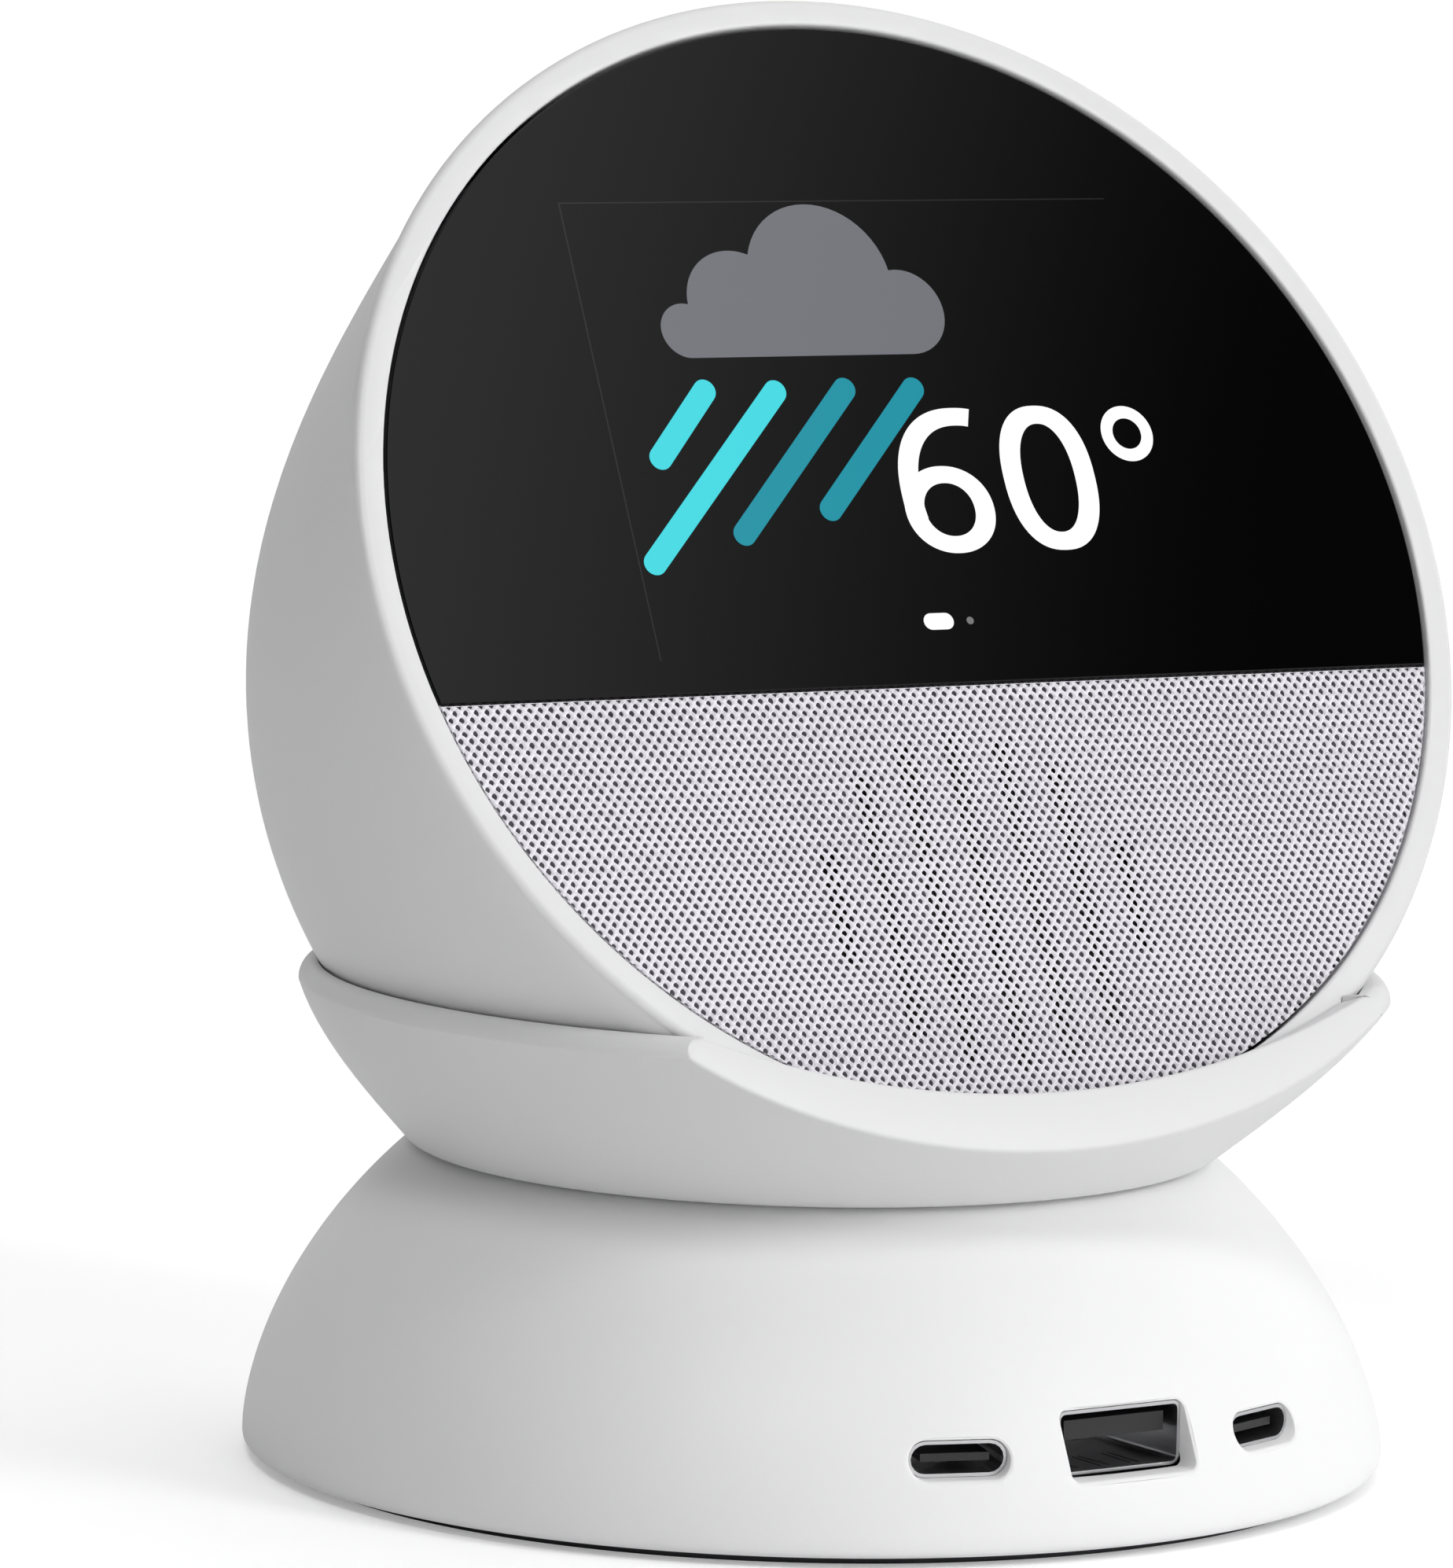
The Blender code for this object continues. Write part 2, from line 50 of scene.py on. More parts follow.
# The display's tilted face: u across, v up the face, w out of it, in millimetres
TILT = 0.4818
FACE_CENTRE = Vector((0.0, -15.587, 83.387))
FACE_FRAME = Matrix.Translation(FACE_CENTRE) @ Matrix.Rotation(math.pi / 2 - TILT, 4, "X")
FACE_INVERSE = FACE_FRAME.inverted()
BAND_INNER = 52.41
BODY_RADIUS = 55.05
BODY_DEPTH = 71.0
BODY_POWER = 2.65
BODY_DROP = 4.33
DROP_DEPTH = 33.3
BODY_WALL = 2.0
BODY_BOTTOM = 33.4
BODY_EDGE = 0.80
MOUTH_ROUND = 0.25
MOUTH_DEPTH = 5.0
HOLLOW_START = 7.0
GLASS_FRONT = -0.3
GLASS_CHORD = -11.68
GLASS_THICKNESS = 1.0
GLASS_GROUND = 0.15
SCREEN_WIDTH = 56.9
SCREEN_LOW = -8.49
SCREEN_HIGH = 35.10
EDGE_LINE = 0.13
RAIN_WIDTH = 2.2
BUTTON_PITCH = 14.0
BUTTON_DEPTH = 12.0
BUTTON_RADIUS = 3.2
BUTTON_PROUD = 0.7
BUTTON_EDGE = 0.5
BUTTON_FLANGE = 0.9
FLANGE_LOW = 4.6
FLANGE_HIGH = 3.8
INLET_RADIUS = 4.2

# Base and cradle
AXIS_Y = 1.6
BASE_BOTTOM = 1.5
BASE_TOP = 28.4
SKIRT_BOTTOM = 0.95
SKIRT_RISE = 1.05
SKIRT_EDGE = 0.8
TOP_EDGE = 0.6
BASE_RADIUS = 52.0
BASE_WALL = 2.4
BASE_BORE = 6.5
RECESS_OUTER = 25.0
RECESS_INNER = 11.0
RECESS_DEPTH = 1.0
DOME_HEIGHT = 40.1
DOME_POWER = 1.68
DOME_LEAN = 0.0703
BASE_TURN = math.radians(3.5)
PORT_ANGLE = math.radians(18.6)
USB_WALL = 0.3
USB_A_INSIDE = (12.5, 5.1)
USB_A_HEIGHT = 9.7
USB_A_ROUND = 0.8
USB_C_INSIDE = (8.34, 2.56)
USB_C_HEIGHT = 9.1
SPRING_PLACES = (-3.9, -0.6, 2.6)
SPRING_HALF_WIDTH = 0.45
SPRING_FRONT = 48.0
SPRING_BACK = 43.5
SEAM = 28.7
SEAM_EDGE = 0.3
BOWL_SEAM_RADIUS = 36.75
BOWL_RIM_RADIUS = 49.3
BOWL_SEAM_Y = 1.3
BOWL_RIM_Y = -3.9
BOWL_CURVE = math.radians(62.0)
RIM_TOP = 45.5
RIM_ROUND = 1.7
RIM_START = RIM_TOP - RIM_ROUND
FLOOR_TOP = 30.5
POCKET_RADIUS = 32.0
CRADLE_CLEARANCE = 0.15
CRADLE_THINNEST = 0.8
CRADLE_BORE = 6.3
SHELL_STEPS = 288
LIP_THICKNESS = 1.5
LIP_FRONT = GAP + LIP_THICKNESS
LIP_ARC_RADIUS = 86.0
LIP_LOW = -50.6
LIP_ROUND = 0.35

# Knitted cloth
HOLE_PITCH = 1.04
ROW_PITCH = 0.64
HOLE_HALF_WIDTH = 0.24
HOLE_HALF_HEIGHT = 0.29
TIP_RISE = -0.03
SLANT_RISE = 0.06
UPRIGHT_RISE = 0.02
CLOTH_GAP = 0.2
CLOTH_SEED = 7

# Studio: places in metres, powers in watts, spreads of the surround in degrees, camera turns in radians,
# the lens and the floor's reach in millimetres
WORLD_LEVEL = 0.492
WORLD_SLOPE = 0.598
WORLD_BRIGHT_SIDE = (0.7, 0.0, 0.71)
DIM_PATCH = (0.725, -0.483, 0.49)
DIM_PATCH_OUTER = 20.5
DIM_PATCH_INNER = 13.5
SHADE_SIDE = (-0.80, -0.55, 0.35)
SHADE_SIDE_OUTER = 80.0
SHADE_SIDE_INNER = 40.0
FLOOR_REACH = 6000.0
LIGHT_SIZE = 0.5
LIGHT_TARGET = (0.0, 0.0, 0.07)
LIGHTS = {
    "key": ((0.9, -1.5, 1.03), 10.6),
    "low_front": ((-0.1, -1.9, 0.3), 4.3),
    "low_right": ((1.3, -1.3, 0.3), 2.1),
    "upper_left": ((-0.9, -1.0, 1.6), 11.0),
}
CAMERA_LENS = 202.99
CAMERA_SHIFT = (-0.0697, -0.0020)
CAMERA_PLACE = (-0.402929, -0.685256, 0.157168)
CAMERA_YAW = 0.5325
CAMERA_PITCH = -0.1193
CAMERA_ROLL = 0.0234

LEVEL = Matrix.Identity(4)
AXIS_FRAME = Matrix.Translation((0.0, AXIS_Y, 0.0))
BASE_FRAME = AXIS_FRAME @ Matrix.Rotation(BASE_TURN, 4, "Z")


# ---------------------------------------------------------------- materials

def link(tree, source, target):
    tree.links.new(source, target)


def surface(name, colour, roughness, metal=0.0, grain=900.0, bump=0.02, mottle=0.03, sheen=0.0):
    """A Principled material with a fine grained surface and a slight mottle in colour and gloss."""
    made = bpy.data.materials.new(name)
    made.use_nodes = True
    tree = made.node_tree
    shader = tree.nodes["Principled BSDF"]
    shader.inputs["Metallic"].default_value = metal
    shader.inputs["Sheen Weight"].default_value = sheen
    place = tree.nodes.new("ShaderNodeTexCoord")
    cloud = tree.nodes.new("ShaderNodeTexNoise")
    cloud.inputs["Scale"].default_value = 60.0
    cloud.inputs["Detail"].default_value = 3.0
    link(tree, place.outputs["Object"], cloud.inputs["Vector"])
    tint = tree.nodes.new("ShaderNodeMix")
    tint.data_type = "RGBA"
    tint.inputs["A"].default_value = (*[part * (1.0 - mottle) for part in colour], 1.0)
    tint.inputs["B"].default_value = (*[min(part * (1.0 + mottle), 1.0) for part in colour], 1.0)
    link(tree, cloud.outputs["Fac"], tint.inputs["Factor"])
    link(tree, tint.outputs["Result"], shader.inputs["Base Color"])
    gloss = tree.nodes.new("ShaderNodeMapRange")
    gloss.inputs["To Min"].default_value = roughness * 0.9
    gloss.inputs["To Max"].default_value = min(roughness * 1.1, 1.0)
    link(tree, cloud.outputs["Fac"], gloss.inputs["Value"])
    link(tree, gloss.outputs["Result"], shader.inputs["Roughness"])
    fine = tree.nodes.new("ShaderNodeTexNoise")
    fine.inputs["Scale"].default_value = grain
    fine.inputs["Detail"].default_value = 4.0
    link(tree, place.outputs["Object"], fine.inputs["Vector"])
    rise = tree.nodes.new("ShaderNodeBump")
    rise.inputs["Strength"].default_value = bump
    rise.inputs["Distance"].default_value = 0.0002
    link(tree, fine.outputs["Fac"], rise.inputs["Height"])
    link(tree, rise.outputs["Normal"], shader.inputs["Normal"])
    return made


def lit(name, colour, strength):
    """A part of the picture on the screen, which gives its own light and has a faint grain."""
    made = surface(name, (0.01, 0.01, 0.01), 0.08, mottle=0.0, bump=0.0)
    tree = made.node_tree
    shader = tree.nodes["Principled BSDF"]
    shader.inputs["Emission Strength"].default_value = strength
    grain = tree.nodes.new("ShaderNodeTexNoise")
    grain.inputs["Scale"].default_value = 2500.0
    link(tree, tree.nodes["Texture Coordinate"].outputs["Object"], grain.inputs["Vector"])
    shade = tree.nodes.new("ShaderNodeMix")
    shade.data_type = "RGBA"
    shade.inputs["A"].default_value = (*[part * 0.98 for part in colour], 1.0)
    shade.inputs["B"].default_value = (*colour, 1.0)
    link(tree, grain.outputs["Fac"], shade.inputs["Factor"])
    link(tree, shade.outputs["Result"], shader.inputs["Emission Color"])
    return made


# One white plastic in two copies: the base's copy is painted lighter than the shell's, as painted light
# standing in for the brighter light on the base
WHITE = surface("white_shell", (0.72, 0.72, 0.724), 0.42, grain=2600.0, bump=0.03, mottle=0.006)
BASE_WHITE_PAINTED_LIGHTER = surface("white_base_shell_painted_lighter", (0.86, 0.86, 0.863), 0.50, grain=2600.0, bump=0.03, mottle=0.006)
RUBBER = surface("black_rubber", (0.03, 0.03, 0.034), 0.8, grain=1800.0, bump=0.2)
STEEL = surface("plated_steel", (0.60, 0.60, 0.61), 0.28, 1.0, grain=700.0, bump=0.06)
BLACK = surface("black_plastic", (0.012, 0.012, 0.013), 0.4, grain=1500.0, bump=0.08)
BOARD = surface("board_laminate", (0.015, 0.12, 0.05), 0.4, grain=500.0, bump=0.15, mottle=0.12)
ACETAL = surface("acetal", (0.85, 0.85, 0.82), 0.3, grain=900.0, bump=0.03)
ALUMINIUM = surface("aluminium", (0.76, 0.77, 0.78), 0.35, 1.0, grain=1200.0, bump=0.05)
GLASS = surface("black_glass", (0.0015, 0.0015, 0.0016), 0.05, grain=60.0, bump=0.004)
GLASS.node_tree.nodes["Principled BSDF"].inputs["IOR"].default_value = 1.41
PAPER = surface("coated_paper", (0.05, 0.05, 0.05), 0.75, grain=1400.0, bump=0.35)
YARN = surface("white_yarn", (0.88, 0.86, 0.91), 0.85, grain=5200.0, bump=0.5, mottle=0.07, sheen=0.3)
GRILLE = surface("grille_plastic", (0.24, 0.235, 0.26), 0.7, grain=1500.0, bump=0.08)

SLOT_MATERIALS = {
    "white_plastic": WHITE,
    "rubber": RUBBER,
    "steel": STEEL,
    "black_plastic": BLACK,
    "circuit_board": BOARD,
    "low_friction_plastic": ACETAL,
    "aluminium": ALUMINIUM,
    "fabric": YARN,
    "glass": GLASS,
    "paper_cone": PAPER,
}


def dress_cad_nodes():
    """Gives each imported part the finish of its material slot, and the frame behind the cloth its own."""
    for part in frame["record"]["subparts"]:
        node = frame["nodes"][part["node"]]
        finish = GRILLE if part["node"] == "front_frame" else SLOT_MATERIALS[part["material_slot"]]
        node.data.materials.clear()
        node.data.materials.append(finish)


# ---------------------------------------------------------------- mesh helpers

def make(name, points, faces, finish=None, sharp=None):
    """A smooth-shaded object from millimetre points; sharp is the crease angle in degrees."""
    mesh = bpy.data.meshes.new(name)
    mesh.from_pydata([Vector(point) * MM for point in points], [], faces)
    work = bmesh.new()
    work.from_mesh(mesh)
    bmesh.ops.remove_doubles(work, verts=work.verts, dist=1e-8)
    bmesh.ops.recalc_face_normals(work, faces=work.faces)
    work.to_mesh(mesh)
    work.free()
    made = bpy.data.objects.new(name, mesh)
    bpy.context.collection.objects.link(made)
    if finish:
        mesh.materials.append(finish)
    smooth(made, sharp)
    return made


def smooth(piece, sharp=None):
    piece.data.shade_smooth()
    if sharp:
        piece.data.set_sharp_from_angle(angle=math.radians(sharp))


def loft(name, rings, finish=None, closed=False, sharp=None):
    """A skin over rings of equal count: capped at both ends, or joined end to end when closed."""
    count = len(rings[0])
    points = [point for ring in rings for point in ring]
    faces = []
    for row in range(len(rings) if closed else len(rings) - 1):
        here = row * count
        above = ((row + 1) % len(rings)) * count
        for step in range(count):
            after = (step + 1) % count
            faces.append((here + step, here + after, above + after, above + step))
    if not closed:
        faces.append(tuple(range(count)))
        faces.append(tuple(range(len(points) - count, len(points))))
    return make(name, points, faces, finish, sharp)


def circle(place, radius, height, centre=(0.0, 0.0), count=CIRCLE_STEPS):
    points = []
    for step in range(count):
        angle = 2 * math.pi * step / count
        flat = (centre[0] + radius * math.cos(angle), centre[1] + radius * math.sin(angle), height)
        points.append(place @ Vector(flat))
    return points


def lathe(name, profile, place, finish=None, sharp=30.0, count=64):
    rings = [circle(place, radius, height, count=count) for radius, height in profile]
    return loft(name, rings, finish, sharp=sharp)


def corner(radius, height, reach, start, steps=5):
    """A quarter round of a lathe profile, from a start angle in degrees, about (radius, height)."""
    for step in range(steps + 1):
        angle = math.radians(start + 90.0 * step / steps)
        yield radius + reach * math.cos(angle), height + reach * math.sin(angle)


def cut(target, cutters):
    """Takes closed cutters out of a closed piece for good, and removes them."""
    for cutter in cutters:
        step = target.modifiers.new(cutter.name, "BOOLEAN")
        step.operation = "DIFFERENCE"
        step.object = cutter
        step.solver = "EXACT"
    seen = target.evaluated_get(bpy.context.evaluated_depsgraph_get())
    finished = bpy.data.meshes.new_from_object(seen)
    finishes = list(target.data.materials)
    target.modifiers.clear()
    target.data = finished
    finished.materials.clear()
    for finish in finishes:
        finished.materials.append(finish)
    for face in finished.polygons:
        face.material_index = 0
    for cutter in cutters:
        bpy.data.objects.remove(cutter, do_unlink=True)


def flatten(piece, bottom):
    """Cuts a closed piece off level and closes it again."""
    work = bmesh.new()
    work.from_mesh(piece.data)
    everything = work.verts[:] + work.edges[:] + work.faces[:]
    bmesh.ops.bisect_plane(work, geom=everything, plane_co=(0, 0, bottom * MM), plane_no=(0, 0, 1),
                           clear_inner=True)
    rim = [edge for edge in work.edges if edge.is_boundary]
    bmesh.ops.edgeloop_fill(work, edges=rim)
    bmesh.ops.recalc_face_normals(work, faces=work.faces)
    work.to_mesh(piece.data)
    work.free()


def flat_piece(name, outlines, height, thickness, finish):
    """Flat shapes on the face, each an outline of (u, v) points, with a little thickness."""
    work = bmesh.new()
    for outline in outlines:
        corners = [work.verts.new(FACE_FRAME @ Vector((u, v, height)) * MM) for u, v in outline]
        face = work.faces.new(corners)
        grown = bmesh.ops.extrude_face_region(work, geom=[face])["geom"]
        moved = [item for item in grown if isinstance(item, bmesh.types.BMVert)]
        shift = (FACE_FRAME.to_3x3() @ Vector((0, 0, -thickness))) * MM
        bmesh.ops.translate(work, verts=moved, vec=shift)
    bmesh.ops.recalc_face_normals(work, faces=work.faces)
    mesh = bpy.data.meshes.new(name)
    work.to_mesh(mesh)
    work.free()
    mesh.materials.append(finish)
    made = bpy.data.objects.new(name, mesh)
    bpy.context.collection.objects.link(made)
    return made


# ---------------------------------------------------------------- display

def body_circle(depth, grow):
    """The shell's round section at a depth behind the face: its radius, and how high its middle lies."""
    part = max(depth, 0.0) / (BODY_DEPTH + grow)
    radius = (BODY_RADIUS + grow) * math.sqrt(max(1.0 - part ** BODY_POWER, 0.0))
    drop = BODY_DROP * (1.0 - ((max(depth, 0.0) - DROP_DEPTH) / DROP_DEPTH) ** 2)
    return radius, -drop


def body_rings(grow, start, spans):
    """Round sections from a start depth back to just short of the rear point, closer together there."""
    depth_end = BODY_DEPTH + grow
    rings = []
    for step in range(spans + 1):
        part = 1.0 - 0.999 * step / spans
        depth = start + (depth_end - start) * (1.0 - part * part)
        radius, middle = body_circle(depth, grow)
        rings.append(circle(FACE_FRAME, radius, -depth, (0.0, middle)))
    return rings


def button_places():
    radius, middle = body_circle(BUTTON_DEPTH, 0.0)
    for name, across in (("volume_down", -BUTTON_PITCH), ("mic", 0.0), ("volume_up", BUTTON_PITCH)):
        lean = math.asin(across / radius)
        place = FACE_FRAME @ Matrix.Translation((0.0, middle, -BUTTON_DEPTH))
        yield name, place @ Matrix.Rotation(-lean, 4, "Z") @ Matrix.Rotation(-math.pi / 2, 4, "X"), radius


def housing_hollow():
    """The shell's inside, from the rounded mouth in its flat band to the rear wall."""
    rings = [circle(FACE_FRAME, BAND_INNER + MOUTH_ROUND + 1.0, 1.0)]
    for turn in (0.0, 0.4, 0.8, 1.2, math.pi / 2):
        radius = BAND_INNER + MOUTH_ROUND - MOUTH_ROUND * math.sin(turn)
        rings.append(circle(FACE_FRAME, radius, MOUTH_ROUND * math.cos(turn) - MOUTH_ROUND))
    rings.append(circle(FACE_FRAME, BAND_INNER, -MOUTH_DEPTH))
    rings += body_rings(-BODY_WALL, HOLLOW_START, 30)
    hollow = loft("housing_hollow", rings)
    flatten(hollow, BODY_BOTTOM + BODY_WALL)
    return hollow


def build_housing():
    """The ball-shaped shell with its flat band round the face, button holes and inlet hole."""
    edge = corner(BODY_RADIUS - BODY_EDGE, -BODY_EDGE, BODY_EDGE, 0)
    rings = [circle(FACE_FRAME, radius, height) for radius, height in edge]
    rings.reverse()
    rings += body_rings(0.0, BODY_EDGE + 0.2, 56)
    housing = loft("housing_skin", rings, WHITE)
    flatten(housing, BODY_BOTTOM)
    cutters = [housing_hollow()]
    for name, place, radius in button_places():
        hole = BUTTON_RADIUS + GAP
        cutters.append(lathe(f"{name}_hole", [(hole, radius - 5.0), (hole, radius + 5.0)], place))
    cutters.append(lathe("inlet_hole", [(INLET_RADIUS, -80.0), (INLET_RADIUS, -60.0)], FACE_FRAME))
    cut(housing, cutters)
    smooth(housing, 35.0)
    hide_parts("housing")
    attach(housing, "display")


def build_buttons():
    """Round caps with a flange under the shell, a rounded edge and a slightly dished top."""
    flange = BUTTON_RADIUS + BUTTON_FLANGE
    for name, place, radius in button_places():
        top = radius + BUTTON_PROUD
        profile = [(flange, radius - FLANGE_LOW), (flange, radius - FLANGE_HIGH),
                   (BUTTON_RADIUS, radius - FLANGE_HIGH)]
        profile += list(corner(BUTTON_RADIUS - BUTTON_EDGE, top - BUTTON_EDGE, BUTTON_EDGE, 0, 6))
        profile += [(BUTTON_RADIUS * 0.5, top - 0.04), (0.3, top - 0.08)]
        cap = lathe(f"{name}_cap", profile, place, WHITE, count=48, sharp=40.0)
        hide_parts(f"button_{name}")
        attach(cap, name)


def segment(radius, chord, steps=200):
    """The part of a disc above a level chord."""
    start = math.asin(chord / radius)
    finish = math.pi - start
    return [(radius * math.cos(start + (finish - start) * step / steps),
             radius * math.sin(start + (finish - start) * step / steps)) for step in range(steps + 1)]


def build_glass():
    """The black upper part of the face, with a ground edge all round."""
    edge = BAND_INNER - GAP
    levels = [(0.0, -GLASS_THICKNESS), (0.0, -GLASS_GROUND), (GLASS_GROUND * 0.3, -GLASS_GROUND * 0.3),
              (GLASS_GROUND, 0.0)]
    rings = []
    for inset, height in levels:
        outline = segment(edge - inset, GLASS_CHORD + inset)
        rings.append([FACE_FRAME @ Vector((u, v, GLASS_FRONT + height)) for u, v in outline])
    glass = loft("cover_glass_skin", rings, GLASS, sharp=20.0)
    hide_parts("cover_glass")
    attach(glass, "display")


def hexagon_rim():
    """Twelve points round one knitted cell: its corners and the middles of its sides, with their rise."""
    half = HOLE_PITCH / 2
    side = (half ** 2 + ROW_PITCH ** 2) / 2
    shoulder = (side - half ** 2) / ROW_PITCH
    tip = side / ROW_PITCH
    corners = [(half, shoulder), (0.0, tip), (-half, shoulder),
               (-half, -shoulder), (0.0, -tip), (half, -shoulder)]
    rim = []
    for index, (u, v) in enumerate(corners):
        next_u, next_v = corners[(index + 1) % 6]
        slanted = next_u != u
        rim.append((u, v, TIP_RISE if u == 0.0 else 0.0))
        rim.append(((u + next_u) / 2, (v + next_v) / 2, SLANT_RISE if slanted else UPRIGHT_RISE))
    return rim


def build_cloth():
    """White knitted cloth stretched over the speaker: each cell is a ring of yarn round an open hole."""
    rng = random.Random(CLOTH_SEED)
    radius = BAND_INNER - GAP
    top = GLASS_CHORD - CLOTH_GAP
    rim = hexagon_rim()
    around = len(rim)
    rounds = ((1.0, 0.0), (0.45, -0.01), (0.0, -0.22))
    points = []
    faces = []
    rows = int((radius + top) / ROW_PITCH) + 2
    columns = int(radius / HOLE_PITCH) + 2
    for row in range(-1, rows):
        for column in range(-columns, columns + 1):
            middle_u = (column + 0.5 * (row % 2)) * HOLE_PITCH
            middle_v = top - row * ROW_PITCH
            if math.hypot(middle_u, middle_v) > radius + 0.45 or middle_v > top + 0.4:
                continue
            wide = HOLE_HALF_WIDTH * rng.uniform(0.88, 1.1)
            tall = HOLE_HALF_HEIGHT * rng.uniform(0.88, 1.1)
            lean = rng.uniform(-0.1, 0.1)
            first = len(points)
            for outward, sink in rounds:
                for u, v, rise in rim:
                    angle = math.atan2(v / ROW_PITCH, u / HOLE_PITCH)
                    hole_u = wide * math.cos(angle) + lean * tall * math.sin(angle)
                    hole_v = tall * math.sin(angle)
                    across = middle_u + hole_u + (u - hole_u) * outward
                    along = min(middle_v + hole_v + (v - hole_v) * outward, top)
                    shrink = min(1.0, radius / math.hypot(across, along))
                    height = GLASS_FRONT - 0.1 + rise * (0.3 + 0.7 * outward) + sink
                    points.append(FACE_FRAME @ Vector((across * shrink, along * shrink, height)))
            for ring in range(len(rounds) - 1):
                for step in range(around):
                    here = first + ring * around + step
                    after = first + ring * around + (step + 1) % around
                    faces.append((here, after, after + around, here + around))
    cloth = make("knitted_grille", points, faces, YARN)
    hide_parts("fabric_grille")
    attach(cloth, "display")


# ---------------------------------------------------------------- the picture on the screen

def arc_points(centre, half_width, half_height, start, finish, steps, power=2.0):
    """Points along an ellipse, or a squarer oval for a power above 2, in degrees."""
    points = []
    for step in range(steps + 1):
        angle = math.radians(start + (finish - start) * step / steps)
        across = math.copysign(abs(math.cos(angle)) ** (2 / power), math.cos(angle))
        along = math.copysign(abs(math.sin(angle)) ** (2 / power), math.sin(angle))
        points.append((centre[0] + half_width * across, centre[1] + half_height * along))
    return points


def stroke(path, width):
    """The outline of a round-ended pen stroke along a path."""
    left = []
    right = []
    for index, (u, v) in enumerate(path):
        before = path[max(index - 1, 0)]
        after = path[min(index + 1, len(path) - 1)]
        run = Vector((after[0] - before[0], after[1] - before[1])).normalized()
        left.append((u - run.y * width / 2, v + run.x * width / 2))
        right.append((u + run.y * width / 2, v - run.x * width / 2))
    heading = math.degrees(math.atan2(path[-1][1] - path[-2][1], path[-1][0] - path[-2][0]))
    front = arc_points(path[-1], width / 2, width / 2, heading + 90, heading - 90, 12)
    back = arc_points(path[0], width / 2, width / 2, heading - 90, heading - 270, 12)
    return left[1:-1] + front + right[1:-1][::-1] + back


def oval_ring(centre, outer, inner, powers=(2.0, 2.0), start=0, finish=360, steps=72):
    """Four-sided patches between two ovals about one centre, each given by its half width and height."""
    outside = arc_points(centre, *outer, start, finish, steps, powers[0])
    inside = arc_points(centre, *inner, start, finish, steps, powers[1])
    return [[outside[step], outside[step + 1], inside[step + 1], inside[step]] for step in range(steps)]


def meeting(right, left, seen_from):
    """The angle, seen from one lobe's centre, of the upper point where two neighbouring lobes cross."""
    (right_u, right_v), right_radius = right
    (left_u, left_v), left_radius = left
    apart = math.hypot(left_u - right_u, left_v - right_v)
    along = (right_radius ** 2 - left_radius ** 2 + apart ** 2) / (2 * apart)
    aside = math.sqrt(right_radius ** 2 - along ** 2)
    run_u = (left_u - right_u) / apart
    run_v = (left_v - right_v) / apart
    cross_u = right_u + run_u * along + run_v * aside
    cross_v = right_v + run_v * along - run_u * aside
    return math.degrees(math.atan2(cross_v - seen_from[0][1], cross_u - seen_from[0][0]))


def cloud_outline():
    """Four lobes over a flat bottom, walked from the right end to the left."""
    bottom = 19.98
    lobes = [((4.4, 24.1), 4.12), ((-3.53, 27.4), 7.32), ((-12.45, 25.09), 5.18), ((-18.3, 22.6), 2.63)]
    points = []
    for index, (centre, radius) in enumerate(lobes):
        start = -90.0 if index == 0 else meeting(lobes[index - 1], lobes[index], lobes[index])
        finish = 270.0 if index == len(lobes) - 1 else meeting(lobes[index], lobes[index + 1], lobes[index])
        points += arc_points(centre, radius, radius, start, finish, 24)
    return [(u, max(v, bottom)) for u, v in points]


